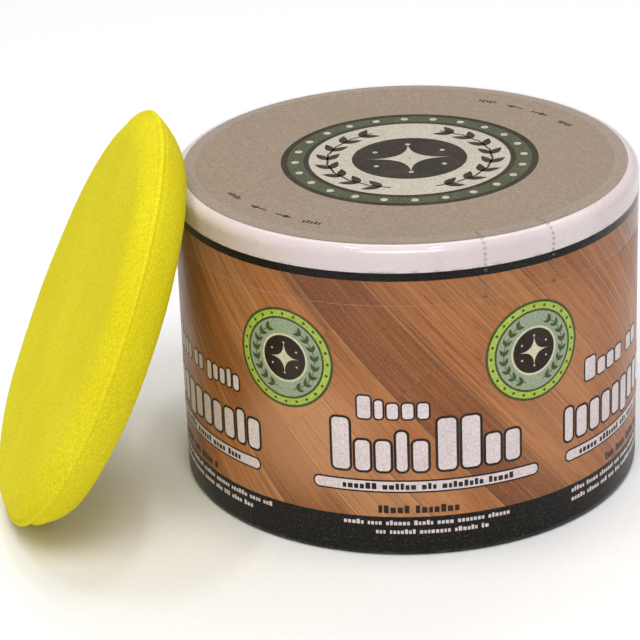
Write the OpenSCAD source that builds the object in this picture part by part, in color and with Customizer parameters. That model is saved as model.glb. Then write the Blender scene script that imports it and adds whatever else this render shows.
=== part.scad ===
// Wide, low tin of paste wax with a twist-off lid and a loose foam applicator pad.
// Millimetres. The origin is the centre of the tin's base, on the floor, and +Z is up.

/* [Can] */
// Outside diameter of the tin over its printed sleeve
can_d = 108; // [90:1:140]
// Height from the floor to the top of the closed lid
can_h = 75; // [60:1:100]
// Thickness of the can's sheet steel
can_wall = 0.5; // [0.4:0.05:0.7]
// Outside radius of the corner between wall and base
base_corner = 1.5; // [1.2:0.1:2.5]
// Outside radius of the corner where the wall steps in to the neck
shoulder_corner = 0.6; // [0.5:0.05:0.8]
// Radius of the stiffening bead that is rolled into the base
bead_r = 1.2; // [0.8:0.1:1.4]
// Distance of the bead's centre from the can's wall
bead_inset = 6.3; // [5:0.1:10]

/* [Neck and lugs] */
// Space between the lid's inner wall and the neck
neck_space = 2; // [1.6:0.1:3]
// Radius of the rolled bead along the neck's top edge
curl_r = 0.6; // [0.5:0.05:0.7]
// Lugs inside the lid, and threads on the neck
lug_count = 4; // [3:1:6]
// Rise of the lid in one full turn
lug_lead = 30; // [24:1:36]
// Height of a lug, and of a thread
lug_h = 0.8; // [0.6:0.05:1]
// Angle that one lug takes up
lug_span = 8; // [6:1:12]
// Angle that one thread takes up
thread_span = 26; // [18:1:30]
// Clearance between a lug and its thread, and between a lug and the neck
lug_gap = 0.25; // [0.15:0.05:0.35]
// Height of the lowest point of a lug above the lid's lower edge
lug_seat = 0.1; // [0.05:0.05:0.3]

/* [Lid] */
// Height of the lid's skirt and top together
lid_h = 5.85; // [5.5:0.05:8]
// Thickness of the lid's sheet
lid_wall = 0.5; // [0.4:0.05:0.7]
// Outside radius of the lid's top edge
lid_corner = 2.5; // [2:0.1:3]
// Thickness of the printed card disc on the lid
card_t = 0.15; // [0.1:0.05:0.4]
// Thickness of the sealing liner inside the lid
liner_t = 0.4; // [0.3:0.05:0.8]
// Clearance between the liner and what is above and below it
liner_gap = 0.1; // [0.05:0.05:0.2]
// Gap between the lid's lower edge and the sleeve
lid_gap = 0.1; // [0.05:0.05:0.4]

/* [Sleeve and wax] */
// Thickness of the printed sleeve round the can
sleeve_t = 0.2; // [0.1:0.05:0.3]
// Clearance between the sleeve and the can
sleeve_gap = 0.08; // [0.04:0.01:0.12]
// Height of the sleeve's lower edge above the floor
sleeve_lift = 0.25; // [0.2:0.05:0.6]
// Height of the wax surface above the floor
wax_level = 48; // [20:1:52]
// How far the wax climbs the wall at its edge
wax_climb = 1; // [0.5:0.1:2]
// Clearance between the wax and the sheet steel
wax_gap = 0.1; // [0.05:0.01:0.2]

/* [Tamper band] */
// Thickness of the clear shrink film
film_t = 0.2; // [0.1:0.05:0.3]
// Clearance between the film and what it wraps
film_gap = 0.1; // [0.08:0.01:0.2]
// How far the band reaches below the lid
band_drop = 7.6; // [5:0.1:12]
// How far the band's lip reaches over the card disc
band_lip = 3; // [1.5:0.1:5]
// Diameter of one perforation
perf_d = 0.5; // [0.4:0.05:0.9]
// Distance from one perforation to the next
perf_pitch = 1.25; // [1.1:0.05:2]
// Angle between the two lines of perforations
strip_span = 18; // [12:1:30]
// Direction of the tear strip round the tin
strip_at = -65; // [-90:1:-30]
// Width of the seam along a line of perforations
seam_gap = 0.1; // [0.06:0.01:0.2]

/* [Applicator pad] */
// Diameter of the foam pad
pad_d = 100.6; // [80:0.1:110]
// Depth of the pad's face on the side away from the tin
pad_out_h = 3.9; // [2:0.1:8]
// Depth of the pad's face on the side towards the tin
pad_in_h = 9.1; // [5:0.1:14]
// Share of the radius that is flat on the face away from the tin
pad_out_flat = 0.83; // [0.6:0.01:0.9]
// Share of the radius that is flat on the face towards the tin
pad_in_flat = 0.79; // [0.6:0.01:0.9]
// Lean of the pad from upright, towards the tin
pad_lean = 24.3; // [15:0.1:35]
// Direction that the pad leans in, counted from +X towards +Y
pad_bearing = 7.4; // [-20:0.1:40]
// Distance that the pad stands to the side of the tin's centre line
pad_side = -8.1; // [-15:0.1:15]
// Clearance between the pad and the floor
pad_floor_gap = 0.1; // [0:0.05:0.3]
// Clearance between the pad and the tin's edge
pad_gap = 0.3; // [0.2:0.05:0.6]

/* [Hidden] */
$fn = 96;
// Flat ring of wax between the wall and where the surface starts to curve down
wax_rim = 0.15;
// How far a thread reaches past the middle of its lug when the lid is shut
thread_entry = 2;
// Radial length of the bar that a lug or thread is cut from
bar_depth = 8;
// Stands for "out of reach" in the pad's contact
out_of_reach = -1000;

// The can
out_r = can_d / 2;
shell_r = out_r - sleeve_t - sleeve_gap;
inner_r = shell_r - can_wall;
lid_low = can_h - lid_h;
sleeve_top = lid_low - lid_gap;
bead_at = shell_r - bead_inset;

// The lid
lid_top = can_h - card_t;
flat_r = out_r - lid_corner;
skirt_in_r = out_r - lid_wall;
edge_z = lid_top - lid_corner;

// The neck, its rolled edge and the liner that seals on it
neck_r = skirt_in_r - neck_space;
curl_at = neck_r - can_wall / 2;
liner_top = lid_top - lid_wall - liner_gap;
curl_z = liner_top - liner_t - liner_gap - curl_r;
liner_r = skirt_in_r - (lid_corner - lid_wall);

// Lugs and threads share one pitch line
lug_in_r = neck_r + 2 * lug_gap;
thread_out_r = skirt_in_r - 2 * lug_gap;
lug_z = lid_low + lug_seat + lug_lead * lug_span / 720 + lug_h / 2;
thread_z = lug_z + lug_h + lug_gap;
lug_tilt = atan(lug_lead / (2 * PI * neck_r));
thread_lead_in = lug_span / 2 + thread_entry;

// The tamper band
film_in_r = out_r + film_gap;
film_out_r = film_in_r + film_t;
film_corner = lid_corner + card_t + film_gap;
film_z = can_h + film_gap;
band_low = lid_low - band_drop;
lip_r = flat_r - band_lip;
seam_deg = seam_gap / out_r * 180 / PI;
wall_run = film_z - film_corner - band_low;
corner_run = (film_corner + film_t / 2) * PI / 2;
lip_run = film_in_r - film_corner - lip_r;
perf_count = floor((wall_run + corner_run + lip_run) / perf_pitch);

// The pad stands on its rim and leans until one point of its face meets the tin
pad_r = pad_d / 2;
pad_z = pad_r * cos(pad_lean) + pad_floor_gap;
pad_steps = 8;
lean_step = 0.25;
pad_away = max([for (r = [0 : lean_step : pad_r]) let (depth = face_depth(r, pad_in_h, pad_in_flat))
    r * sin(pad_lean) + depth * cos(pad_lean)
        + tin_reach(pad_z + r * cos(pad_lean) - depth * sin(pad_lean))]);

// Depth of one face of the pad at a radius: flat in the middle, rounded down to the rim
function face_depth(r, depth, flat) = depth * (1 - pow(max(r / pad_r - flat, 0) / (1 - flat), 2));

// Radius that keeps the pad's gap to the wrapped tin at a height, or a large negative one above it
function tin_reach(z) = let (over = z - film_z + film_corner, round = film_corner + film_t + pad_gap)
    over <= 0 ? film_out_r + pad_gap
    : over < round ? film_in_r - film_corner + sqrt(pow(round, 2) - pow(over, 2))
    : out_of_reach;

// Half section of a drum with rounded corners below and above, to be turned about Z
module drum_section(r, z0, z1, low = 0, high = 0) {
    translate([0, z0 + low]) square([r, z1 - z0 - low - high]);
    if (low > 0) {
        translate([0, z0]) square([r - low, z1 - z0 - high]);
        translate([r - low, z0 + low]) circle(low);
    }
    if (high > 0) {
        translate([0, z0 + low]) square([r - high, z1 - z0 - low]);
        translate([r - high, z1 - high]) circle(high);
    }
}

// Keeps what lies on the positive side of the axis
module turn_section() {
    rotate_extrude() intersection() {
        translate([0, -can_h]) square([2 * out_r, 3 * can_h]);
        children();
    }
}

// A short helical rib or lug: a tilted bar trimmed to a ring
module helical_bar(r_in, r_out, z, angle, from, to) {
    middle = (from + to) / 2;
    span = to - from;
    rise = lug_lead * middle / 360;
    intersection() {
        translate([0, 0, z - 2 * lug_lead]) difference() {
            cylinder(r = r_out, h = 4 * lug_lead);
            translate([0, 0, -1]) cylinder(r = r_in, h = 4 * lug_lead + 2);
        }
        rotate([0, 0, angle + middle])
            translate([neck_r, 0, z + rise])
            rotate([lug_tilt, 0, 0])
            cube([bar_depth, 2 * neck_r * sin(span / 2), lug_h], center = true);
    }
}

module tin_body() {
    color([0.80, 0.80, 0.78]) union() {
        turn_section() {
            difference() {
                union() {
                    difference() {
                        union() {
                            drum_section(shell_r, 0, sleeve_top, base_corner, shoulder_corner);
                            square([neck_r, curl_z]);
                        }
                        drum_section(inner_r, can_wall, sleeve_top - can_wall,
                            base_corner - can_wall, shoulder_corner / 2);
                        translate([0, can_wall]) square([neck_r - can_wall, can_h]);
                    }
                    intersection() {
                        translate([bead_at, 0]) circle(bead_r + can_wall);
                        square([out_r, can_h]);
                    }
                }
                translate([bead_at, 0]) circle(bead_r);
            }
            translate([curl_at, curl_z]) circle(curl_r);
        }
        for (i = [0 : lug_count - 1])
            helical_bar(neck_r - can_wall / 2, thread_out_r, thread_z, i * 360 / lug_count,
                -thread_lead_in, thread_span - thread_lead_in);
    }
}

// Printed sleeve: straight up the wall, and tucked round the bottom corner
module printed_sleeve() {
    inside = base_corner + sleeve_gap;
    color([0.62, 0.40, 0.24]) turn_section() difference() {
        drum_section(out_r, -sleeve_gap - sleeve_t, sleeve_top, inside + sleeve_t);
        drum_section(out_r - sleeve_t, -sleeve_gap, sleeve_top + 1, inside);
        translate([0, -1]) square([out_r, 1 + sleeve_lift]);
        square([shell_r - base_corner, can_h]);
    }
}

module wax() {
    climb_at = inner_r - wax_gap - wax_rim - wax_climb;
    color([0.86, 0.74, 0.42]) turn_section() difference() {
        drum_section(inner_r - wax_gap, can_wall + wax_gap, wax_level + wax_climb,
            base_corner - can_wall);
        translate([0, wax_level]) square([climb_at, 2 * wax_climb]);
        translate([climb_at, wax_level + wax_climb]) circle(wax_climb);
        translate([bead_at, 0]) circle(bead_r + can_wall + wax_gap);
    }
}

module lid_liner() {
    color([0.93, 0.92, 0.88])
        translate([0, 0, liner_top - liner_t]) cylinder(r = liner_r, h = liner_t);
}

module lid_shell() {
    color([0.90, 0.87, 0.87]) union() {
        turn_section() difference() {
            drum_section(out_r, lid_low, lid_top, 0, lid_corner);
            drum_section(skirt_in_r, lid_low - 1, lid_top - lid_wall, 0, lid_corner - lid_wall);
        }
        for (i = [0 : lug_count - 1])
            helical_bar(lug_in_r, skirt_in_r + lid_wall / 2, lug_z, i * 360 / lug_count,
                -lug_span / 2, lug_span / 2);
    }
}

module lid_card() {
    color([0.64, 0.56, 0.49]) translate([0, 0, lid_top]) cylinder(r = flat_r, h = card_t);
}

module film_section() {
    difference() {
        drum_section(film_out_r, band_low, film_z + film_t, 0, film_corner + film_t);
        drum_section(film_in_r, band_low - 1, film_z, 0, film_corner);
        translate([0, band_low - 1]) square([lip_r, can_h]);
    }
}

// One perforation at a distance along the film, from its lower edge over to its lip
module perforation(run) {
    bend = min(max((run - wall_run) / corner_run, 0), 1) * 90;
    rise = min(run, wall_run);
    inward = max(run - wall_run - corner_run, 0);
    middle = film_corner + film_t / 2;
    translate([film_in_r - film_corner - inward + middle * cos(bend), 0,
        band_low + rise + middle * sin(bend)])
        rotate([0, 90 - bend, 0])
        cylinder(d = perf_d, h = 6 * film_t, center = true, $fn = 24);
}

module perforation_line(angle) {
    rotate([0, 0, angle])
        for (i = [0 : perf_count - 1]) perforation((i + 0.5) * perf_pitch);
}

// A stretch of the film between two directions, with the perforations cut through its ends
module film_stretch(from, to) {
    difference() {
        rotate([0, 0, from]) rotate_extrude(angle = to - from) film_section();
        perforation_line(strip_at - strip_span / 2);
        perforation_line(strip_at + strip_span / 2);
    }
}

module shrink_band() {
    half = strip_span / 2 + seam_deg / 2;
    color([0.85, 0.92, 0.95, 0.4]) film_stretch(strip_at + half, strip_at + 360 - half);
}

module tear_strip() {
    half = strip_span / 2 - seam_deg / 2;
    color([0.75, 0.88, 0.95, 0.6]) film_stretch(strip_at - half, strip_at + half);
}

module applicator_pad() {
    out_face = [for (i = [0 : pad_steps]) let (r = pad_r * (pad_out_flat
        + (1 - pad_out_flat) * i / pad_steps)) [r, -face_depth(r, pad_out_h, pad_out_flat)]];
    in_face = [for (i = [pad_steps - 1 : -1 : 0]) let (r = pad_r * (pad_in_flat
        + (1 - pad_in_flat) * i / pad_steps)) [r, face_depth(r, pad_in_h, pad_in_flat)]];
    color([0.91, 0.86, 0.14])
        rotate([0, 0, pad_bearing])
        translate([-pad_away, pad_side, pad_z])
        rotate([0, 90 + pad_lean, 0])
        rotate_extrude()
        polygon(concat([[0, -pad_out_h]], out_face, in_face, [[0, pad_in_h]]));
}

tin_body();
printed_sleeve();
wax();
lid_liner();
lid_shell();
lid_card();
shrink_band();
tear_strip();
applicator_pad();
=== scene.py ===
import math
import random

import bpy
import bmesh
from mathutils import Matrix, Vector, noise


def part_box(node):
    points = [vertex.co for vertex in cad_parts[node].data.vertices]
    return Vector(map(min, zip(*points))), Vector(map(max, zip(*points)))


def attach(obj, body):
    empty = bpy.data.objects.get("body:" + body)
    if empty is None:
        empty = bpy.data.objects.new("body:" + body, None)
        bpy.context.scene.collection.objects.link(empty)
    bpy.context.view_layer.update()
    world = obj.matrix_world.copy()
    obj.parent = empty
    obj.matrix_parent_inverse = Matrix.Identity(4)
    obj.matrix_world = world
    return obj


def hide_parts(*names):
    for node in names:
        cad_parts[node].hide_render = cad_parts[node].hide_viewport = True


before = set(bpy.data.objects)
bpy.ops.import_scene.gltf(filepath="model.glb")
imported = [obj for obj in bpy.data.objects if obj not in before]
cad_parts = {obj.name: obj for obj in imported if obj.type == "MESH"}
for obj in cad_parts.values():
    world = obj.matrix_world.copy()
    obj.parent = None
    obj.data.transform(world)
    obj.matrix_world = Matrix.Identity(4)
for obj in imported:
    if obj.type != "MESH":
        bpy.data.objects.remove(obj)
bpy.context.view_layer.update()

MM = 0.001
WALL_R = 54.0          # outside radius of the printed sleeve
CARD_Z = 75.0          # top face of the card disc on the lid
BAND_LOW = 61.55       # lower edge of the clear band
BEND_R = 51.35         # centre of the bend where the band turns over the lid
BEND_Z = 72.35
BEND_MIDDLE = 2.85     # radius of that bend, in the middle of the film
LID_BEND_R = 51.5      # centre of the bend along the lid's top edge
LINING_REACH = 2.25    # how far from that centre the lid's gold lining reaches
STRIP_AT = -65.0       # direction of the tear strip
STRIP_SPAN = 18.0      # degrees between the two lines of perforations
PERF_PITCH = 1.25      # distance from one perforation to the next
PERF_R = 0.25          # radius of one perforation
FRONT_DEG = math.degrees(1) / WALL_R    # degrees round the wall for one millimetre


# ---------------------------------------------------------------- camera
camera_data = bpy.data.cameras.new("camera")
camera_data.sensor_width = 36
camera_data.lens = 149.34
camera_data.clip_start = 0.01
camera_data.clip_end = 20
camera = bpy.data.objects.new("camera", camera_data)
bpy.context.scene.collection.objects.link(camera)
camera.matrix_world = (
    Matrix.Translation((-0.0210, -0.5766, 0.2927))
    @ Matrix.Rotation(math.radians(90 - 24.09), 4, "X")
    @ Matrix.Rotation(math.radians(-2.24), 4, "Z")
)
bpy.context.scene.camera = camera


# ---------------------------------------------------------------- materials
def linear(c):
    c = c / 255
    return c / 12.92 if c <= 0.04045 else ((c + 0.055) / 1.055) ** 2.4


def rgb(r, g, b):
    return (linear(r), linear(g), linear(b), 1.0)


class Shade:
    """A node material that is built up from sockets."""

    def __init__(self, name):
        self.material = bpy.data.materials.new(name)
        self.material.use_nodes = True
        self.tree = self.material.node_tree
        self.tree.nodes.clear()
        self.coords = self.node("ShaderNodeTexCoord").outputs["Object"]
        split = self.node("ShaderNodeSeparateXYZ", {"Vector": self.coords})
        self.x, self.y, self.z = split.outputs

    def node(self, kind, inputs=None, **settings):
        made = self.tree.nodes.new(kind)
        for key, value in settings.items():
            setattr(made, key, value)
        for key, value in (inputs or {}).items():
            socket = made.inputs[key]
            if isinstance(value, bpy.types.NodeSocket):
                self.tree.links.new(value, socket)
            else:
                socket.default_value = value
        return made

    def from_axis(self):
        """Distance from the tin's axis."""
        return self.math("SQRT", self.math("ADD", self.math("POWER", self.x, 2.0),
            self.math("POWER", self.y, 2.0)))

    def math(self, operation, *values, clamp=False):
        made = self.node("ShaderNodeMath", dict(enumerate(values)), operation=operation)
        made.use_clamp = clamp
        return made.outputs[0]

    def vector(self, x, y, z):
        return self.node("ShaderNodeCombineXYZ", {0: x, 1: y, 2: z}).outputs[0]

    def scaled(self, vector, x, y, z):
        made = self.node("ShaderNodeMapping", {"Vector": vector, "Scale": (x, y, z)})
        return made.outputs[0]

    def noise(self, vector, scale, detail=3.0, rough=0.55, distortion=0.0):
        made = self.node("ShaderNodeTexNoise", {
            "Vector": vector, "Scale": scale, "Detail": detail,
            "Roughness": rough, "Distortion": distortion})
        return made.outputs[0]

    def cells(self, vector, scale, output="Distance"):
        made = self.node("ShaderNodeTexVoronoi", {"Vector": vector, "Scale": scale})
        return made.outputs[output]

    def dice(self, vector):
        made = self.node("ShaderNodeTexWhiteNoise", {"Vector": vector},
            noise_dimensions="3D")
        return made.outputs["Value"]

    def span(self, value, low, high, to_low=0.0, to_high=1.0, smooth=False):
        made = self.node("ShaderNodeMapRange", {
            "Value": value, "From Min": low, "From Max": high,
            "To Min": to_low, "To Max": to_high})
        made.interpolation_type = "SMOOTHSTEP" if smooth else "LINEAR"
        return made.outputs[0]

    def ramp(self, value, *stops):
        made = self.node("ShaderNodeValToRGB", {"Fac": value})
        points = made.color_ramp.elements
        while len(points) < len(stops):
            points.new(0.5)
        for point, (place, colour) in zip(points, stops):
            point.position = place
            point.color = colour
        return made.outputs[0]

    def mix(self, amount, first, second):
        made = self.node("ShaderNodeMix", data_type="RGBA")
        for key, value in ((0, amount), (6, first), (7, second)):
            if isinstance(value, bpy.types.NodeSocket):
                self.tree.links.new(value, made.inputs[key])
            else:
                made.inputs[key].default_value = value
        return made.outputs[2]

    def bump(self, height, distance, strength):
        inputs = {"Height": height, "Distance": distance, "Strength": strength}
        return self.node("ShaderNodeBump", inputs).outputs[0]

    def surface(self, **inputs):
        names = {key.replace("_", " "): value for key, value in inputs.items()}
        return self.node("ShaderNodeBsdfPrincipled", names).outputs[0]

    def done(self, shader):
        out = self.node("ShaderNodeOutputMaterial")
        self.tree.links.new(shader, out.inputs["Surface"])
        return self.material


def wall_place(m):
    """Distance round the wall from the front, and height, both in metres."""
    away = m.math("MULTIPLY", m.y, -1.0)
    turn = m.math("ARCTAN2", m.x, away)
    return m.math("MULTIPLY", turn, WALL_R * MM), turn


def sleeve_material():
    """Printed sleeve: black stripe, slanting floor boards, charcoal band with flecks."""
    m = Shade("printed_label")
    u, turn = wall_place(m)
    lean = math.radians(50)     # the boards' slant
    board_long, stripe_low, coal_high = 0.118, 0.0672, 0.0100
    along = m.math("SUBTRACT", m.math("MULTIPLY", u, math.cos(lean)),
        m.math("MULTIPLY", m.z, math.sin(lean)))
    across = m.math("ADD", m.math("MULTIPLY", u, math.sin(lean)),
        m.math("MULTIPLY", m.z, math.cos(lean)))
    # boards, each with its own colour, grain and ends
    board = 0.0132
    row_at = m.math("DIVIDE", m.math("ADD", across, 0.0051), board)
    row = m.math("FLOOR", row_at)
    in_row = m.math("FRACT", row_at)
    shift = m.dice(m.vector(row, 3.0, 1.0))
    end_at = m.math("ADD", m.math("DIVIDE", along, board_long), m.math("MULTIPLY", shift, 5.0))
    column = m.math("FLOOR", end_at)
    in_column = m.math("FRACT", end_at)
    tone = m.dice(m.vector(row, column, 7.0))
    slide = m.math("MULTIPLY", m.dice(m.vector(row, column, 11.0)), 9.0)
    base = m.ramp(tone, (0.0, rgb(118, 66, 40)), (0.22, rgb(138, 80, 48)),
        (0.42, rgb(154, 94, 56)), (0.6, rgb(172, 111, 66)), (0.78, rgb(160, 100, 54)),
        (1.0, rgb(192, 136, 90)))
    for which, shade in ((0, rgb(190, 134, 84)), (2, rgb(108, 56, 31)),
            (-1, rgb(134, 78, 38)), (5, rgb(150, 92, 58))):
        same = m.math("COMPARE", row, float(which), 0.5)
        base = m.mix(m.math("MULTIPLY", same, 0.85), base, shade)
    # broad shifts of hue from golden at the left to pink at the right
    warm = m.noise(m.vector(u, m.z, 0.0), 17.0, 2.0)
    base = m.mix(m.span(warm, 0.36, 0.66, 0.0, 0.4), base, rgb(176, 106, 44))
    pink = m.math("ADD", m.span(u, 0.016, 0.07, 0.0, 0.42, smooth=True),
        m.span(m.noise(m.vector(u, m.z, 4.0), 26.0, 2.0), 0.45, 0.75, 0.0, 0.3), clamp=True)
    base = m.mix(pink, base, rgb(164, 104, 70))
    # grain: broad bands, fine lines, and short dark pores along the board
    broad = m.noise(m.vector(m.math("MULTIPLY", along, 12.0),
        m.math("ADD", m.math("MULTIPLY", across, 120.0), slide), slide), 1.0, 5.0, 0.62, 0.9)
    fine = m.noise(m.vector(m.math("MULTIPLY", along, 22.0),
        m.math("ADD", m.math("MULTIPLY", across, 1350.0), slide), 2.0), 1.0, 3.0, 0.75, 0.25)
    pore = m.noise(m.vector(m.math("MULTIPLY", along, 160.0),
        m.math("ADD", m.math("MULTIPLY", across, 2300.0), slide), 5.0), 1.0, 1.0, 0.5)
    grain = m.math("ADD", m.span(broad, 0.3, 0.7, -0.42, 0.36),
        m.span(fine, 0.28, 0.72, -0.7, 0.6))
    dark = m.span(grain, -0.8, 0.05, 0.8, 0.0)
    light = m.span(grain, 0.1, 0.85, 0.0, 0.5)
    wood = m.mix(dark, base, rgb(92, 50, 28))
    wood = m.mix(light, wood, rgb(206, 146, 90))
    wood = m.mix(m.span(pore, 0.62, 0.72, 0.0, 0.45), wood, rgb(74, 40, 24))
    # the boards are sunlit in two places
    for at_u, at_z, wide, tall, amount in ((-0.026, 0.029, 0.021, 0.019, 0.50),
            (0.034, 0.036, 0.017, 0.030, 0.26), (-0.004, 0.012, 0.016, 0.012, 0.28)):
        off = m.math("SQRT", m.math("ADD",
            m.math("POWER", m.math("DIVIDE", m.math("SUBTRACT", u, at_u), wide), 2.0),
            m.math("POWER", m.math("DIVIDE", m.math("SUBTRACT", m.z, at_z), tall), 2.0)))
        wood = m.mix(m.span(off, 0.35, 1.15, amount, 0.0, smooth=True), wood, rgb(206, 150, 106))
    # board joints, darker on one side and caught by light on the other
    joint = m.math("MAXIMUM", m.span(in_row, 0.0, 0.028, 1.0, 0.0),
        m.span(in_column, 0.0, 0.0035, 0.3, 0.0))
    wood = m.mix(m.math("MULTIPLY", joint, 0.7), wood, rgb(58, 32, 20))
    lit = m.span(in_row, 0.93, 1.0, 0.0, 0.2)
    wood = m.mix(lit, wood, rgb(214, 168, 124))
    # halftone-like fleck of the print
    fleck = m.noise(m.vector(u, m.z, 9.0), 1900.0, 2.0, 0.7)
    wood = m.mix(m.span(fleck, 0.3, 0.7, 0.0, 0.12), wood, rgb(226, 180, 140))
    # charcoal band with pale and black flecks
    spot = m.noise(m.vector(u, m.z, 1.0), 1500.0, 3.0, 0.75)
    haze = m.noise(m.vector(u, m.z, 2.0), 260.0, 3.0, 0.6)
    coal = m.ramp(spot, (0.30, rgb(6, 6, 4)), (0.48, rgb(20, 19, 16)),
        (0.60, rgb(40, 38, 33)), (0.74, rgb(92, 88, 80)))
    coal = m.mix(m.span(haze, 0.35, 0.7, 0.0, 0.5), coal, rgb(16, 15, 12))
    stripe = m.mix(m.span(fleck, 0.3, 0.7), rgb(8, 6, 4), rgb(18, 13, 10))
    wobble = m.span(m.noise(m.vector(u, 0.0, 0.0), 420.0, 2.0), 0.2, 0.8, -0.00006, 0.00006)
    height = m.math("ADD", m.z, wobble)
    colour = m.mix(m.math("LESS_THAN", height, coal_high), wood, coal)
    colour = m.mix(m.math("GREATER_THAN", height, stripe_low), colour, stripe)
    # the overlap where the sleeve closes, at the back
    lap = m.math("ABSOLUTE", turn)
    seam = m.span(lap, 3.1380, 3.1400, 0.0, 1.0)
    colour = m.mix(m.math("MULTIPLY", seam, 0.6), colour, rgb(60, 44, 34))
    # scuffs along the bottom corner
    worn = m.math("MULTIPLY", m.span(m.z, 0.0014, 0.0004, 0.0, 1.0),
        m.span(m.noise(m.coords, 700.0, 4.0, 0.7), 0.5, 0.62, 0.0, 1.0))
    colour = m.mix(m.math("MULTIPLY", worn, 0.5), colour, rgb(110, 106, 98))
    peel = m.noise(m.coords, 520.0, 2.0)
    normal = m.bump(m.math("ADD", peel, m.math("MULTIPLY", fine, 0.35)), 0.00003, 0.5)
    rough = m.span(m.noise(m.coords, 90.0, 4.0), 0.3, 0.7, 0.30, 0.42)
    return m.done(m.surface(Base_Color=colour, Roughness=rough, Normal=normal,
        Coat_Weight=0.08, Coat_Roughness=0.12, Specular_IOR_Level=0.12))


def tinplate_material():
    m = Shade("tinplate")
    _, turn = wall_place(m)
    brushed = m.noise(m.vector(m.math("MULTIPLY", turn, 1.4),
        m.math("MULTIPLY", m.z, 3800.0), 0.0), 1.0, 3.0, 0.65)
    spangle = m.cells(m.coords, 260.0, output="Color")
    grey = m.node("ShaderNodeRGBToBW", {0: spangle}).outputs[0]
    cloud = m.noise(m.coords, 48.0, 4.0, 0.6)
    colour = m.mix(m.span(brushed, 0.3, 0.7), rgb(176, 178, 178), rgb(216, 216, 213))
    colour = m.mix(m.span(cloud, 0.42, 0.7, 0.0, 0.35), colour, rgb(158, 157, 152))
    colour = m.mix(m.span(grey, 0.0, 1.0, 0.0, 0.12), colour, rgb(238, 238, 236))
    scratch = m.noise(m.scaled(m.coords, 60.0, 900.0, 300.0), 1.0, 2.0, 0.5, 0.6)
    marks = m.span(scratch, 0.66, 0.7, 0.0, 1.0)
    rough = m.math("ADD", m.span(cloud, 0.3, 0.7, 0.22, 0.36), m.math("MULTIPLY", marks, 0.15))
    normal = m.bump(m.math("ADD", brushed, m.math("MULTIPLY", marks, -0.6)), 0.00002, 0.5)
    return m.done(m.surface(Base_Color=colour, Metallic=1.0, Roughness=rough, Normal=normal))


def enamel_material():
    """White enamel on the lid, a little pink, with fine orange peel and rubbed edges."""
    m = Shade("lid_enamel")
    radius = m.from_axis()
    cloud = m.noise(m.coords, 60.0, 3.0)
    speck = m.noise(m.coords, 1700.0, 2.0, 0.7)
    colour = m.mix(m.span(cloud, 0.35, 0.65), rgb(222, 206, 208), rgb(229, 216, 217))
    colour = m.mix(m.span(speck, 0.35, 0.7, 0.0, 0.3), colour, rgb(212, 194, 197))
    worn = m.math("MULTIPLY", m.span(m.z, 0.0698, 0.0693, 0.0, 1.0),
        m.span(m.noise(m.coords, 420.0, 4.0, 0.7), 0.52, 0.6, 0.0, 1.0))
    colour = m.mix(m.math("MULTIPLY", worn, 0.6), colour, rgb(150, 146, 144))
    # the lining is what lies within the middle of the sheet, round its top corner too
    out = m.math("MAXIMUM", m.math("SUBTRACT", radius, LID_BEND_R * MM), 0.0)
    up = m.math("MAXIMUM", m.math("SUBTRACT", m.z, BEND_Z * MM), 0.0)
    reach = m.math("SQRT", m.math("ADD", m.math("POWER", out, 2.0), m.math("POWER", up, 2.0)))
    lining = m.math("LESS_THAN", reach, LINING_REACH * MM)
    gold = m.mix(m.span(cloud, 0.35, 0.65), rgb(206, 190, 150), rgb(216, 203, 168))
    colour = m.mix(lining, colour, gold)
    normal = m.bump(m.noise(m.coords, 380.0, 2.0), 0.00003, 0.45)
    rough = m.span(m.noise(m.coords, 110.0, 4.0), 0.3, 0.7, 0.24, 0.36)
    return m.done(m.surface(Base_Color=colour, Roughness=rough, Normal=normal,
        Coat_Weight=0.6, Coat_Roughness=0.05, Specular_IOR_Level=0.35))


def card_material():
    """Tan card: fibres, flecks and a slightly soft face."""
    m = Shade("kraft_card")
    fibre_a = m.noise(m.scaled(m.coords, 1900.0, 1100.0, 900.0), 1.0, 3.0, 0.75, 1.6)
    fibre_b = m.noise(m.scaled(m.coords, 900.0, 1500.0, 900.0), 1.0, 3.0, 0.75, 2.2)
    fibre = m.math("ADD", m.math("MULTIPLY", fibre_a, 0.5), m.math("MULTIPLY", fibre_b, 0.5))
    fleck = m.noise(m.coords, 1250.0, 3.0, 0.75)
    cloud = m.noise(m.coords, 55.0, 4.0, 0.6)
    colour = m.mix(m.span(fibre, 0.36, 0.64), rgb(124, 106, 90), rgb(166, 148, 130))
    colour = m.mix(m.span(fleck, 0.56, 0.74, 0.0, 0.5), colour, rgb(98, 82, 68))
    colour = m.mix(m.span(fleck, 0.44, 0.26, 0.0, 0.5), colour, rgb(190, 173, 155))
    colour = m.mix(m.span(cloud, 0.35, 0.7, 0.0, 0.28), colour, rgb(138, 121, 102))
    normal = m.bump(m.math("ADD", fibre, m.math("MULTIPLY", fleck, 0.6)), 0.00006, 0.6)
    return m.done(m.surface(Base_Color=colour, Roughness=0.72, Normal=normal,
        Specular_IOR_Level=0.35))


def liner_material():
    m = Shade("liner_board")
    fibre = m.noise(m.scaled(m.coords, 1500.0, 380.0, 600.0), 1.0, 3.0, 0.7, 0.5)
    cloud = m.noise(m.coords, 70.0, 4.0)
    radius = m.from_axis()
    colour = m.mix(m.span(fibre, 0.35, 0.65), rgb(226, 222, 208), rgb(242, 239, 229))
    colour = m.mix(m.span(cloud, 0.4, 0.7, 0.0, 0.3), colour, rgb(224, 214, 188))
    # the ring that the neck's rolled edge has pressed in
    ring = m.span(m.math("ABSOLUTE", m.math("SUBTRACT", radius, 0.05125)), 0.0, 0.0005, 1.0, 0.0)
    colour = m.mix(m.math("MULTIPLY", ring, 0.5), colour, rgb(196, 186, 160))
    normal = m.bump(m.math("SUBTRACT", fibre, ring), 0.00005, 0.6)
    return m.done(m.surface(Base_Color=colour, Roughness=0.58, Normal=normal))


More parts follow.
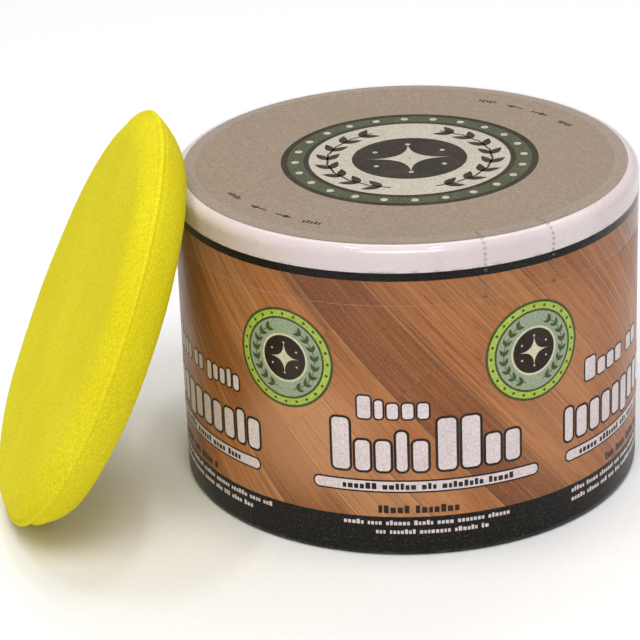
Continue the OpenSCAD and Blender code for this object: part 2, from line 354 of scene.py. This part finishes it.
def film_material(name, veil, tint):
    """Thin clear film: see-through face on, glossy at a glance, with a greyed rim of painted
    light and shade round each hole."""
    m = Shade(name)
    _, turn = wall_place(m)
    degrees = m.math("MULTIPLY", turn, 180 / math.pi)
    strip_middle = 90 + STRIP_AT
    side = m.math("ABSOLUTE", m.math("SUBTRACT", degrees, strip_middle))
    radius = m.from_axis()
    off_line = m.math("MULTIPLY", m.math("ABSOLUTE",
        m.math("SUBTRACT", side, STRIP_SPAN / 2)), m.math("MULTIPLY", radius, math.pi / 180))
    # distance along the film: up the wall, round the bend and in along the lip
    up = m.math("MAXIMUM", m.math("SUBTRACT", m.z, BEND_Z * MM), 0.0)
    out = m.math("MAXIMUM", m.math("SUBTRACT", radius, BEND_R * MM), 0.0)
    run = m.math("MINIMUM", m.math("SUBTRACT", m.z, BAND_LOW * MM), (BEND_Z - BAND_LOW) * MM)
    run = m.math("ADD", run, m.math("MULTIPLY", m.math("ARCTAN2", up, out), BEND_MIDDLE * MM))
    run = m.math("ADD", run,
        m.math("MAXIMUM", m.math("SUBTRACT", BEND_R * MM, radius), 0.0))
    step = m.math("PINGPONG", run, PERF_PITCH * MM / 2)
    to_hole = m.math("SUBTRACT", PERF_PITCH * MM / 2, step)
    reach = m.math("SQRT", m.math("ADD", m.math("POWER", off_line, 2.0),
        m.math("POWER", to_hole, 2.0)))
    halo = m.span(reach, (PERF_R + 0.01) * MM, (PERF_R + 0.09) * MM, 0.62, 0.0)
    wrinkle = m.noise(m.scaled(m.coords, 90.0, 90.0, 24.0), 1.0, 2.0, 0.5, 0.6)
    ripple = m.noise(m.coords, 210.0, 2.0)
    normal = m.bump(m.math("ADD", m.math("MULTIPLY", wrinkle, 2.2), ripple), 0.00009, 0.5)
    facing = m.node("ShaderNodeLayerWeight", {"Blend": 0.5, "Normal": normal}).outputs["Facing"]
    edge = m.math("ADD", m.math("MULTIPLY", m.math("POWER", facing, 5.0), 0.35), 0.002)
    low_edge = m.span(m.z, (BAND_LOW + 0.14) * MM, (BAND_LOW + 0.02) * MM, 0.0, 0.07)
    cover = m.math("ADD", m.math("ADD", edge, veil),
        m.math("ADD", halo, low_edge), clamp=True)
    clear = m.node("ShaderNodeBsdfTransparent", {"Color": tint}).outputs[0]
    # painted light and shade round each hole: a grey rim for the hole's lit edge and shaded
    # inside, darker on the lowest row
    lowest = m.math("LESS_THAN", m.z, (BAND_LOW + PERF_PITCH) * MM)
    hole_edge_light_and_shade = m.mix(lowest, rgb(158, 150, 144), rgb(40, 30, 24))
    body = m.mix(m.math("GREATER_THAN", halo, 0.01), rgb(240, 240, 240), hole_edge_light_and_shade)
    gloss = m.surface(Base_Color=body, Roughness=0.07, Normal=normal)
    return m.done(m.node("ShaderNodeMixShader", {0: cover, 1: clear, 2: gloss}).outputs[0])


def foam_material():
    """Fine open-cell foam: small pores darkened with painted shade, pale cell walls, slow shifts
    of yellow.
    """
    m = Shade("foam")
    pores = m.cells(m.coords, 1650.0)
    larger = m.cells(m.coords, 720.0)
    fuzz = m.noise(m.coords, 2600.0, 3.0, 0.7)
    cloud = m.noise(m.coords, 38.0, 3.0)
    colour = m.mix(m.span(cloud, 0.35, 0.65), rgb(232, 218, 30), rgb(238, 228, 44))
    # the pores' darker yellows are painted shade in the open cells
    colour = m.mix(m.span(pores, 0.30, 0.62, 0.0, 0.45), colour, rgb(206, 186, 20))
    colour = m.mix(m.span(larger, 0.12, 0.02, 0.0, 0.5), colour, rgb(170, 148, 12))
    colour = m.mix(m.span(fuzz, 0.58, 0.76, 0.0, 0.4), colour, rgb(246, 238, 62))
    hollow = m.math("ADD", m.math("MULTIPLY", m.span(larger, 0.0, 0.2), 0.9),
        m.math("SUBTRACT", m.math("MULTIPLY", fuzz, 0.8), m.math("MULTIPLY", pores, 0.6)))
    normal = m.bump(hollow, 0.00022, 0.55)
    return m.done(m.surface(Base_Color=colour, Roughness=0.86, Normal=normal,
        Specular_IOR_Level=0.08))


def wax_material():
    m = Shade("paste_wax")
    cloud = m.noise(m.coords, 36.0, 4.0, 0.6, 0.5)
    grain = m.noise(m.coords, 900.0, 3.0, 0.6)
    colour = m.mix(m.span(cloud, 0.3, 0.7), rgb(222, 190, 116), rgb(236, 210, 148))
    colour = m.mix(m.span(grain, 0.5, 0.75, 0.0, 0.35), colour, rgb(244, 226, 178))
    normal = m.bump(m.math("ADD", m.math("MULTIPLY", cloud, 3.0), grain), 0.00006, 0.4)
    rough = m.span(cloud, 0.3, 0.7, 0.34, 0.52)
    return m.done(m.surface(Base_Color=colour, Roughness=rough, Normal=normal,
        Subsurface_Weight=0.15, Subsurface_Radius=(0.004, 0.003, 0.0015)))


def ink_material(name, first, second, rough=0.36):
    """Printing ink with the fine mottle of a litho print."""
    m = Shade(name)
    mottle = m.noise(m.coords, 2100.0, 2.0, 0.6)
    cloud = m.noise(m.coords, 140.0, 3.0)
    colour = m.mix(m.span(mottle, 0.34, 0.68), first, second)
    colour = m.mix(m.span(cloud, 0.4, 0.75, 0.0, 0.12), colour, rgb(120, 112, 100))
    normal = m.bump(m.noise(m.coords, 620.0, 2.0), 0.00002, 0.4)
    return m.done(m.surface(Base_Color=colour, Roughness=rough, Normal=normal,
        Coat_Weight=0.08, Coat_Roughness=0.12, Specular_IOR_Level=0.12))


# ---------------------------------------------------------------- flat shapes, as grids of points
def strip(low, high):
    """Quads between two lists of (u, v) points."""
    return [low, high], False


def turned(shape, degrees, at=(0.0, 0.0)):
    rows, closed = shape
    c, s = math.cos(math.radians(degrees)), math.sin(math.radians(degrees))
    return [[(at[0] + u * c - v * s, at[1] + u * s + v * c) for u, v in row]
        for row in rows], closed


BAR_STEP = 0.9      # longest stretch of a bar that stays flat on the round wall


def rounded_bar(u0, u1, v0, v1, corner=math.inf):
    """An upright or lying bar with round corners, as round as it has room for."""
    width, tall = u1 - u0, v1 - v0
    corner = min(corner, min(width, tall) / 2 * 0.94)
    us, cut = [], []
    for k in range(5):
        a = math.radians(90 * k / 4)
        us.append(u0 + corner * (1 - math.cos(a)))
        cut.append(corner * (1 - math.sin(a)))
    inner = max(1, math.ceil((width - 2 * corner) / BAR_STEP))
    for k in range(1, inner):
        us.append(u0 + corner + (width - 2 * corner) * k / inner)
        cut.append(0.0)
    for k in range(4, -1, -1):
        a = math.radians(90 * k / 4)
        us.append(u1 - corner * (1 - math.cos(a)))
        cut.append(corner * (1 - math.sin(a)))
    low = [(u, v0 + c) for u, c in zip(us, cut)]
    high = [(u, v1 - c) for u, c in zip(us, cut)]
    return strip(low, high)


def ring(u, v, r0, r1, steps=96):
    """A flat ring, in as many bands as keep its quads short."""
    across = max(1, math.ceil((r1 - r0) / 1.4))
    rows = []
    for k in range(across + 1):
        row = []
        for i in range(steps):
            a = 2 * math.pi * i / steps
            r = r0 + (r1 - r0) * k / across
            row.append((u + r * math.cos(a), v + r * math.sin(a)))
        rows.append(row)
    return rows, True


def star(u, v, long):
    """A sparkle with four points that curve in, built as a ring round a small heart."""
    power = 4.2     # how sharply the sides curve in
    outline = []
    for i in range(64):
        a = 2 * math.pi * i / 64
        c, s = math.cos(a), math.sin(a)
        outline.append((long * abs(c) ** power * math.copysign(1, c),
            long * abs(s) ** power * math.copysign(1, s)))
    return [[(u + x * f, v + y * f) for x, y in outline] for f in (0.05, 0.5, 1.0)], True


def leaf(length, width):
    """A pointed leaf along +u from the origin."""
    low, high = [], []
    for k in range(9):
        t = 0.02 + 0.96 * k / 8
        half = width / 2 * math.sin(math.pi * t ** 0.8)
        low.append((length * t, -half))
        high.append((length * t, half))
    return strip(low, high)


def plate_piece(name, body, material, shapes, place, bottom, top):
    """One closed, thin piece made of all the shapes, laid on the wall or the lid."""
    bm = bmesh.new()
    for rows, closed in shapes:
        levels = [[[bm.verts.new(place(u, v, rise)) for u, v in row] for row in rows]
            for rise in (bottom, top)]
        count = len(rows[0])
        turns = range(count if closed else count - 1)
        for j in range(len(rows) - 1):
            for i in turns:
                k = (i + 1) % count
                for level in levels:
                    bm.faces.new((level[j][i], level[j][k], level[j + 1][k], level[j + 1][i]))
        low, high = levels
        for i in turns:
            k = (i + 1) % count
            for j in (0, len(rows) - 1):
                bm.faces.new((low[j][i], low[j][k], high[j][k], high[j][i]))
        if not closed:
            for j in range(len(rows) - 1):
                for i in (0, count - 1):
                    bm.faces.new((low[j][i], low[j + 1][i], high[j + 1][i], high[j][i]))
    bmesh.ops.recalc_face_normals(bm, faces=bm.faces)
    mesh = bpy.data.meshes.new(name)
    bm.to_mesh(mesh)
    bm.free()
    made = bpy.data.objects.new(name, mesh)
    bpy.context.scene.collection.objects.link(made)
    mesh.materials.append(material)
    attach(made, body)
    return made


def wall_place_mm(u, v, rise):
    """(u, v) in millimetres round the wall from the front, and up."""
    a = math.radians(u * FRONT_DEG)
    return Vector((math.sin(a) * (WALL_R + rise), -math.cos(a) * (WALL_R + rise), v)) * MM


def lid_place_mm(u, v, rise):
    return Vector((u, v, CARD_Z + rise)) * MM


# ---------------------------------------------------------------- label graphics
MM_PER_DEG = 1 / FRONT_DEG
dice = random.Random(41)


def word(u0, u1, v0, cap, small, heights, gap):
    """Plain bars that stand in for a word: c and w are capitals, w the wider, x is small,
    t stands up a little, and g hangs down."""
    bars = []
    weights = {"c": 1.2, "w": 1.6, "x": 1.0, "t": 0.72, "g": 1.0}
    unit = (u1 - u0 - gap * (len(heights) - 1)) / sum(weights[h] for h in heights)
    u = u0
    for h in heights:
        width = unit * weights[h]
        top = {"c": cap, "w": cap, "x": small, "t": small + (cap - small) * 0.45,
            "g": small}[h]
        drop = (cap - small) * 0.5 if h == "g" else 0.0
        bars.append((u, u + width, v0 - drop, v0 + top))
        u += width + gap
    return bars


def grown(bars, by, corner):
    return [rounded_bar(a - by, b + by, c - by, d + by, corner + by) for a, b, c, d in bars]


def small_line(u0, u1, v0, tall, letter=0.85, gap=0.3):
    """A run of small bars in groups, standing in for a line of small print."""
    shapes, u = [], u0
    while u < u1 - letter:
        for _ in range(dice.randint(3, 8)):
            width = letter * dice.uniform(0.7, 1.15)
            if u + width > u1:
                break
            high = tall * dice.choice((1.0, 0.74, 0.74, 0.74))
            shapes.append(rounded_bar(u, u + width, v0, v0 + high, 0.12))
            u += width + gap
        u += letter
    return shapes


# places in degrees round the wall: the panel's middle, then the rest counted from it
PANELS = [
    {"at": 0.0,
     "upper": (-14.6, 2.8, "ctxxx"),
     "heads": [(-21.0, 1.8, "cxxtx"), (4.2, 24.4, "ccxx")],
     "pill": (-26.25, 29.75, -18.75, 23.75),
     "net": (-10.25, 10.0),
     "fine": [(-18.75, 23.0, 7.95), (-11.0, 16.25, 5.75)]},
    {"at": 65.75,
     "upper": (-21.0, 8.0, "cxxx xx"),
     "heads": [(-28.0, 28.5, "txxxxgxxxxtx")],
     "pill": (-28.0, 28.0, -23.0, 22.0),
     "net": (-12.0, 12.0),
     "fine": [(-25.7, 25.0, 7.95), (-25.7, 20.0, 5.75)]},
    {"at": -69.25,
     "upper": (-12.0, 22.3, "cxxx xx gxxtx"),
     "heads": [(-28.0, 27.9, "txxxxgxxxxtx")],
     "pill": (-28.0, 28.0, -22.0, 22.0),
     "net": (-12.0, 11.0),
     "fine": [(-26.0, 31.6, 7.95), (-26.0, 24.6, 5.75)]},
]

white_bars, dark_bars, fine_white, fine_dark = [], [], [], []


def lay_panel(at, upper, heads, pill, net, fine):
    """Adds one panel: an upper word, headline words, a pill, a short line and fine lines."""
    def mm(degrees):
        return (at + degrees) * MM_PER_DEG

    start, end, letters = upper
    groups = letters.split(" ")
    total = sum(len(g) for g in groups) + 0.7 * (len(groups) - 1)
    u, step = mm(start), (mm(end) - mm(start)) / total
    for group in groups:
        width = step * len(group)
        bars = word(u, u + width - 0.6, 34.4, 5.4, 3.7, group, 0.95)
        white_bars.extend(grown(bars, 0.0, 0.7))
        dark_bars.extend(grown(bars, 0.42, 0.7))
        u += width + 0.7 * step
    cap, small = (12.6, 7.4) if at == 0 else (9.6, 7.2)
    for start, end, letters in heads:
        bars = word(mm(start), mm(end), 21.5, cap, small, letters, 1.35)
        white_bars.extend(grown(bars, 0.0, 1.0))
        dark_bars.extend(grown(bars, 0.6, 1.0))
    start, end, text_start, text_end = pill
    white_bars.append(rounded_bar(mm(start) + 0.4, mm(end) - 0.4, 16.45, 18.85))
    dark_bars.append(rounded_bar(mm(start), mm(end), 16.05, 19.25))
    fine_dark.extend(small_line(mm(text_start), mm(text_end), 16.9, 1.55, 1.0, 0.34))
    fine_dark.extend(small_line(mm(net[0]), mm(net[1]), 11.0, 1.9, 1.05, 0.4))
    for start, end, height in fine:
        fine_white.extend(small_line(mm(start), mm(end), height, 1.15, 0.72, 0.26))


for panel in PANELS:
    lay_panel(**panel)

# the back: a block of small print between two badges
BACK_MIDDLE = 178 * MM_PER_DEG
for line in range(1, 11):
    width = 52 if line % 4 != 3 else 34
    fine_dark += small_line(BACK_MIDDLE - width, BACK_MIDDLE + width * 0.92,
        52.0 - line * 3.4, 1.35, 0.8, 0.3)
back_word = word(141 * MM_PER_DEG, 214 * MM_PER_DEG, 55.4, 5.4, 3.7, "cxxtxxgxxxx", 0.95)
white_bars += grown(back_word, 0.0, 0.7)
dark_bars += grown(back_word, 0.42, 0.7)
for height in (7.95, 5.75):
    fine_white += small_line(128 * MM_PER_DEG, 226 * MM_PER_DEG, height, 1.15, 0.72, 0.26)


def badge(u, v, scale):
    """A plain round seal: ring with beads, pale field with two leaf sprays, dark middle
    with a sparkle. Returns its shapes by colour."""
    lime = [ring(u, v, 9.75 * scale, 11.55 * scale, 120)]
    rim = [ring(u, v, 11.35 * scale, 11.95 * scale, 120), ring(u, v, 9.35 * scale,
        9.85 * scale, 120)]
    field = [ring(u, v, 5.7 * scale, 9.5 * scale, 96)]
    cream = [ring(u, v, 5.35 * scale, 5.85 * scale, 96), star(u, v, 3.9 * scale)]
    core = [ring(u, v, 0.05 * scale, 5.4 * scale, 96)]
    for k in range(6):
        a = math.radians(60 * k + 30)
        cream.append(ring(u + 2.9 * scale * math.cos(a) * 1.25,
            v + 2.9 * scale * math.sin(a) * 1.25, 0.04 * scale, 0.24 * scale, 12))
    leaves = []
    for side in (-1, 1):
        for k in range(8):
            a = -68 + 17.5 * k
            direction = math.radians(a if side > 0 else 180 - a)
            at = (u + 7.6 * scale * math.cos(direction), v + 7.6 * scale * math.sin(direction))
            heading = math.degrees(direction) + (90 if side > 0 else -90)
            for tilt in (-34, 34):
                leaves.append(turned(leaf(2.0 * scale, 0.85 * scale), heading + tilt, at))
            leaves.append(turned(rounded_bar(-0.9 * scale, 1.5 * scale, -0.1 * scale,
                0.1 * scale), heading, at))
    beads = [ring(u + 10.62 * scale * math.cos(math.radians(15 * k)),
        v + 10.62 * scale * math.sin(math.radians(15 * k)), 0.04 * scale, 0.36 * scale, 14)
        for k in range(24)]
    return {"lime": lime, "rim": rim + leaves, "field": field, "cream": cream, "core": core,
        "beads": beads}


BADGES = [(-32.75, 46.5), (28.5, 46.8), (103.0, 46.6), (-106.0, 46.6)]
wall_badges = {}
for degrees, height in BADGES:
    for colour, shapes in badge(degrees * MM_PER_DEG, height, 1.0).items():
        wall_badges.setdefault(colour, []).extend(shapes)
lid_badge = badge(1.2, 0.2, 2.5)

ink_white = ink_material("ink_white", rgb(206, 190, 190), rgb(232, 220, 220))
ink_dark = ink_material("ink_dark", rgb(30, 22, 18), rgb(48, 37, 32))
ink_lime = ink_material("ink_lime", rgb(150, 172, 62), rgb(184, 204, 92))
ink_forest = ink_material("ink_forest", rgb(58, 66, 34), rgb(82, 92, 48))
ink_sage = ink_material("ink_sage", rgb(136, 152, 122), rgb(160, 174, 150))
ink_cream = ink_material("ink_cream", rgb(196, 190, 158), rgb(222, 216, 186))

WALL_PARTS = [
    # name, shapes, ink, bottom and top in millimetres off the wall
    ("label_outlines", dark_bars, ink_dark, -0.06, 0.025),
    ("label_headlines", white_bars, ink_white, -0.05, 0.045),
    ("label_small_print_dark", fine_dark, ink_dark, -0.05, 0.06),
    ("label_small_print_white", fine_white, ink_white, -0.05, 0.03),
    ("badge_field", wall_badges["field"], ink_sage, -0.06, 0.02),
    ("badge_core", wall_badges["core"], ink_dark, -0.06, 0.025),
    ("badge_ring", wall_badges["lime"], ink_lime, -0.06, 0.022),
    ("badge_rims", wall_badges["rim"], ink_forest, -0.05, 0.035),
    ("badge_beads", wall_badges["beads"], ink_forest, -0.05, 0.04),
    ("badge_sparkles", wall_badges["cream"], ink_cream, -0.05, 0.04),
]
for name, shapes, ink, bottom, top in WALL_PARTS:
    plate_piece(name, "tin", ink, shapes, wall_place_mm, bottom, top)

card_green = ink_material("card_green", rgb(60, 66, 44), rgb(92, 96, 72), 0.6)
card_pale = ink_material("card_pale", rgb(172, 164, 148), rgb(202, 193, 180), 0.6)
card_dark = ink_material("card_dark", rgb(36, 31, 25), rgb(64, 55, 46), 0.6)

arrow_marks = []
for half_turn in (0, 180):
    marks = []
    for (u0, v0), (u1, v1) in (((-32.0, -29.0), (-35.6, -25.4)),
            ((-30.0, -31.0), (-26.4, -34.1))):
        heading = math.degrees(math.atan2(v1 - v0, u1 - u0))
        length = math.hypot(u1 - u0, v1 - v0)
        shaft = rounded_bar(0.0, length * 0.6, -0.22, 0.22, 0.1)
        marks.append(turned(shaft, heading, (u0, v0)))
        head = strip([(length * 0.55, -0.75), (length, -0.04)],
            [(length * 0.55, 0.75), (length, 0.04)])
        marks.append(turned(head, heading, (u0, v0)))
    for (u0, v0), heading in (((-40.4, -17.6), -58.0), ((-24.0, -36.3), -27.0)):
        for k in range(5):
            tall = 1.5 if k in (1, 3) else 1.1
            bar = rounded_bar(k * 0.95, k * 0.95 + 0.62, -0.55, tall - 0.55, 0.12)
            marks.append(turned(bar, heading, (u0, v0)))
    arrow_marks += [turned(mark, half_turn) for mark in marks]

LID_PARTS = [
    ("lid_badge_field", lid_badge["field"], card_pale, -0.03, 0.015),
    ("lid_badge_core", lid_badge["core"], card_dark, -0.03, 0.018),
    ("lid_badge_ring", lid_badge["lime"], card_green, -0.03, 0.016),
    ("lid_badge_rims", lid_badge["rim"], card_dark, -0.02, 0.025),
    ("lid_badge_beads", lid_badge["beads"], card_pale, -0.02, 0.028),
    ("lid_badge_sparkle", lid_badge["cream"], card_pale, -0.02, 0.03),
    ("lid_turn_marks", arrow_marks, card_dark, -0.02, 0.02),
]
for name, shapes, ink, bottom, top in LID_PARTS:
    plate_piece(name, "lid", ink, shapes, lid_place_mm, bottom, top)


# ---------------------------------------------------------------- foam pad
PAD_R, PAD_OUT, PAD_IN = 50.3, 3.9, 9.1     # radius, and depth of its outer and inner face
PAD_OUT_FLAT, PAD_IN_FLAT = 0.83, 0.79      # share of the radius where each face is flat
PAD_LEAN, PAD_BEARING = 24.3, 7.4
PAD_SAG = 0.85                              # how far the lower outer face bulges
OUT_RINGS, IN_RINGS = 26, 33


def face_depth(r, depth, flat):
    over = max(r / PAD_R - flat, 0.0) / (1 - flat)
    return depth * (1 - over * over)


def smooth_step(t):
    t = min(max(t, 0.0), 1.0)
    return t * t * (3 - 2 * t)


# shares of the radius, and depths, round the rim: at the top a nib with a small step
# behind it, and at the bottom two lobes that the pad's weight has pushed apart
RIM_TOP = ((0.9870, -0.92), (0.9950, -0.46), (0.9985, -0.16), (0.9968, 0.12), (0.9922, 0.34),
    (0.9886, 0.58), (0.9864, 0.86), (0.9844, 1.16), (0.9812, 1.50))
RIM_LOW = ((0.9900, -1.75), (0.9970, -1.20), (0.9990, -0.65), (0.9900, -0.15), (0.9740, 0.15),
    (0.9680, 0.55), (0.9692, 1.20), (0.9718, 1.90), (0.9724, 2.50))


def pad_profile(low):
    """(r, s) points from the middle of the outer face, round the edge, to the middle of
    the tin side; low is 1 where the pad stands on the floor and 0 at its top."""
    points = []
    for k in range(1, OUT_RINGS + 1):
        r = PAD_R * 0.975 * math.sin(math.pi / 2 * k / OUT_RINGS)
        crown = 0.12 * (r / PAD_R) ** 4
        depth = face_depth(r, PAD_OUT + 0.35 * low, PAD_OUT_FLAT + 0.06 * low)
        points.append((r, -(depth - crown)))
    for (r0, s0), (r1, s1) in zip(RIM_TOP, RIM_LOW):
        points.append((PAD_R * (r0 + (r1 - r0) * low), s0 + (s1 - s0) * low))
    for k in range(IN_RINGS, 0, -1):
        r = PAD_R * 0.972 * math.sin(math.pi / 2 * k / IN_RINGS)
        crown = 0.12 * (r / PAD_R) ** 6
        points.append((r, face_depth(r, PAD_IN, PAD_IN_FLAT + 0.05 * low) - crown))
    return points


def make_pad():
    steps = 176
    tilt = Matrix.Rotation(math.radians(PAD_BEARING), 4, "Z") @ Matrix.Rotation(
        math.radians(90 + PAD_LEAN), 4, "Y")
    bm = bmesh.new()
    columns = []
    for i in range(steps):
        a = 2 * math.pi * i / steps
        low = smooth_step((math.cos(a) - 0.35) / 0.6)
        column = []
        for r, s in pad_profile(low):
            at = Vector((r * math.cos(a), r * math.sin(a), s))
            soft = noise.noise(at * 0.055 + Vector((3.1, 0.0, 0.0)))
            small = noise.noise(at * 0.35)
            give = 0.10 * (1 + soft) + 0.035 * (1 + small)
            if abs(s) < 2.0 and r > 0.96 * PAD_R:
                at.x -= math.cos(a) * give
                at.y -= math.sin(a) * give
            else:
                at.z += give if s < 0 else -give
            if s < 0:
                # the lower half of the outer face sags outwards
                reach = smooth_step((0.995 - r / PAD_R) / 0.12)
                at.z -= PAD_SAG * smooth_step((at.x + 12) / 50) * reach
            column.append(bm.verts.new(at))
        columns.append(column)
    rows = list(zip(*columns))
    for j in range(len(rows) - 1):
        for i in range(steps):
            k = (i + 1) % steps
            bm.faces.new((rows[j][i], rows[j][k], rows[j + 1][k], rows[j + 1][i]))
    for row in (rows[0], rows[-1]):
        heart = bm.verts.new((0.0, 0.0, sum(v.co.z for v in row) / steps))
        for i in range(steps):
            bm.faces.new((row[i], row[(i + 1) % steps], heart))
    bmesh.ops.recalc_face_normals(bm, faces=bm.faces)
    bm.transform(tilt)
    for v in bm.verts:
        v.co *= MM
    mesh = bpy.data.meshes.new("foam_pad")
    bm.to_mesh(mesh)
    bm.free()
    made = bpy.data.objects.new("foam_pad", mesh)
    bpy.context.scene.collection.objects.link(made)
    for poly in mesh.polygons:
        poly.use_smooth = True
    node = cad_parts["applicator_pad"]
    heart = pad_centre(node, tilt)
    mesh.transform(Matrix.Translation(heart))
    mesh.materials.append(foam_material())
    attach(made, "pad")
    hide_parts("applicator_pad")
    return made


def pad_centre(node, tilt):
    """The middle of the CAD pad's rim, from its farthest points across its own axes."""
    axes = [tilt.to_3x3() @ Vector(v) for v in ((1, 0, 0), (0, 1, 0), (0, 0, 1))]
    middle = Vector((0, 0, 0))
    for axis, name in zip(axes, "uvs"):
        reach = [axis.dot(v.co) for v in node.data.vertices]
        if name == "s":
            middle += axis * (min(reach) + PAD_OUT * MM)
        else:
            middle += axis * ((min(reach) + max(reach)) / 2)
    return middle


# ---------------------------------------------------------------- wax
def make_wax():
    """Poured wax: a skin with slow ripples that climbs a little at the wall."""
    low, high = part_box("wax")
    r_wall = (high.x - low.x) / 2 / MM
    floor, top = low.z / MM, high.z / MM
    climb, corner = 1.0, 1.0    # of the skin at the wall, and of the fill's lower edge
    level = top - climb
    steps, rings = 144, 46
    bm = bmesh.new()
    rows = []
    outline = [(r_wall * t, floor) for t in (0.3, 0.6, 0.8)]
    for k in range(6):
        a = math.radians(90 * k / 5)
        outline.append((r_wall - corner + corner * math.sin(a),
            floor + corner - corner * math.cos(a)))
    outline += [(r_wall, floor + (top - floor) * t) for t in (0.25, 0.5, 0.75, 0.97)]
    for r, z in outline:
        rows.append([(r, z, False)] * steps)
    for k in range(rings, 0, -1):
        r = (r_wall - 0.12) * math.sin(math.pi / 2 * k / rings)
        rise = climb * max(0.0, 1 - (r_wall - r) / 1.5) ** 2
        rows.append([(r, level + rise * 0.95, True)] * steps)
    verts = []
    for row in rows:
        line = []
        for i, (r, z, skin) in enumerate(row):
            a = 2 * math.pi * i / steps
            x, y = r * math.cos(a), r * math.sin(a)
            if skin:
                fade = min(1.0, (r_wall - r) / 4)
                z += fade * (0.16 * noise.noise(Vector((x * 0.05, y * 0.05, 1.0)))
                    + 0.05 * math.sin(r * 0.42 + 0.6 * noise.noise(Vector((x, y, 0)) * 0.03) * 6)
                    + 0.03 * noise.noise(Vector((x * 0.4, y * 0.4, 5.0)))) - 0.02
            line.append(bm.verts.new(Vector((x, y, z)) * MM))
        verts.append(line)
    for j in range(len(verts) - 1):
        for i in range(steps):
            k = (i + 1) % steps
            bm.faces.new((verts[j][i], verts[j][k], verts[j + 1][k], verts[j + 1][i]))
    for line, z in ((verts[0], floor), (verts[-1], level)):
        heart = bm.verts.new((0.0, 0.0, z * MM))
        for i in range(steps):
            bm.faces.new((line[i], line[(i + 1) % steps], heart))
    bmesh.ops.recalc_face_normals(bm, faces=bm.faces)
    mesh = bpy.data.meshes.new("wax_fill")
    bm.to_mesh(mesh)
    bm.free()
    for poly in mesh.polygons:
        poly.use_smooth = True
    made = bpy.data.objects.new("wax_fill", mesh)
    bpy.context.scene.collection.objects.link(made)
    mesh.materials.append(wax_material())
    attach(made, "tin")
    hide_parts("wax")
    return made


make_pad()
make_wax()


# ---------------------------------------------------------------- finishes of the CAD parts
FINISHES = {
    "tin_body": tinplate_material(),
    "printed_sleeve": sleeve_material(),
    "lid_shell": enamel_material(),
    "lid_card": card_material(),
    "lid_liner": liner_material(),
    "shrink_band": film_material("clear_film", 0.001, (0.985, 0.985, 0.985, 1.0)),
    "tear_strip": film_material("clear_film_strip", 0.003, (0.98, 0.985, 0.985, 1.0)),
}
for name, material in FINISHES.items():
    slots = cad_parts[name].material_slots
    for slot in slots:
        slot.material = material
    if not slots:
        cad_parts[name].data.materials.append(material)


# ---------------------------------------------------------------- floor and light
def make_floor():
    bm = bmesh.new()
    bmesh.ops.create_grid(bm, x_segments=8, y_segments=8, size=3.0)
    mesh = bpy.data.meshes.new("floor")
    bm.to_mesh(mesh)
    bm.free()
    floor = bpy.data.objects.new("floor", mesh)
    bpy.context.scene.collection.objects.link(floor)
    m = Shade("floor_paper")
    grain = m.noise(m.coords, 900.0, 2.0)
    colour = m.mix(m.span(grain, 0.3, 0.7), rgb(246, 246, 246), rgb(250, 250, 250))
    mesh.materials.append(m.done(m.surface(Base_Color=colour, Roughness=0.9,
        Specular_IOR_Level=0.1)))


def area_light(name, at, aim, size, power, colour=(1.0, 1.0, 1.0)):
    data = bpy.data.lights.new(name, "AREA")
    data.shape = "RECTANGLE"
    data.size, data.size_y = size
    data.energy = power
    data.color = colour
    lamp = bpy.data.objects.new(name, data)
    bpy.context.scene.collection.objects.link(lamp)
    lamp.location = at
    lamp.rotation_euler = (Vector(aim) - Vector(at)).to_track_quat("-Z", "Y").to_euler()


make_floor()
AIM = (0.0, 0.0, 0.04)
area_light("key_light", (-0.05, -0.75, 1.10), AIM, (0.7, 0.5), 8.5, (1.0, 0.985, 0.97))
area_light("fill_left", (-0.95, -0.45, 0.75), AIM, (0.7, 0.7), 0.6)
area_light("side_right", (0.95, -0.25, 0.6), AIM, (0.5, 0.8), 0.4)
area_light("back_light", (0.1, 0.7, 1.1), AIM, (1.0, 0.5), 4.0)
# two narrow lamps that draw the pair of glints along the lid's bend
for name, azimuth in (("glint_left", -15.0), ("glint_right", 4.5)):
    a, tilt = math.radians(azimuth), math.radians(56)
    normal = Vector((math.sin(a) * math.cos(tilt), -math.cos(a) * math.cos(tilt), math.sin(tilt)))
    spot = Vector((math.sin(a) * 0.0530, -math.cos(a) * 0.0530, 0.0745))
    to_camera = (camera.matrix_world.translation - spot).normalized()
    toward = 2 * normal.dot(to_camera) * normal - to_camera
    area_light(name, spot + toward * 1.1, spot, (0.26, 0.05), 1.3)

world = bpy.data.worlds.new("studio")
world.use_nodes = True
backdrop = world.node_tree.nodes["Background"]
backdrop.inputs["Color"].default_value = (1.0, 1.0, 1.0, 1.0)
backdrop.inputs["Strength"].default_value = 0.42
bpy.context.scene.world = world
bpy.context.scene.view_settings.view_transform = "Standard"
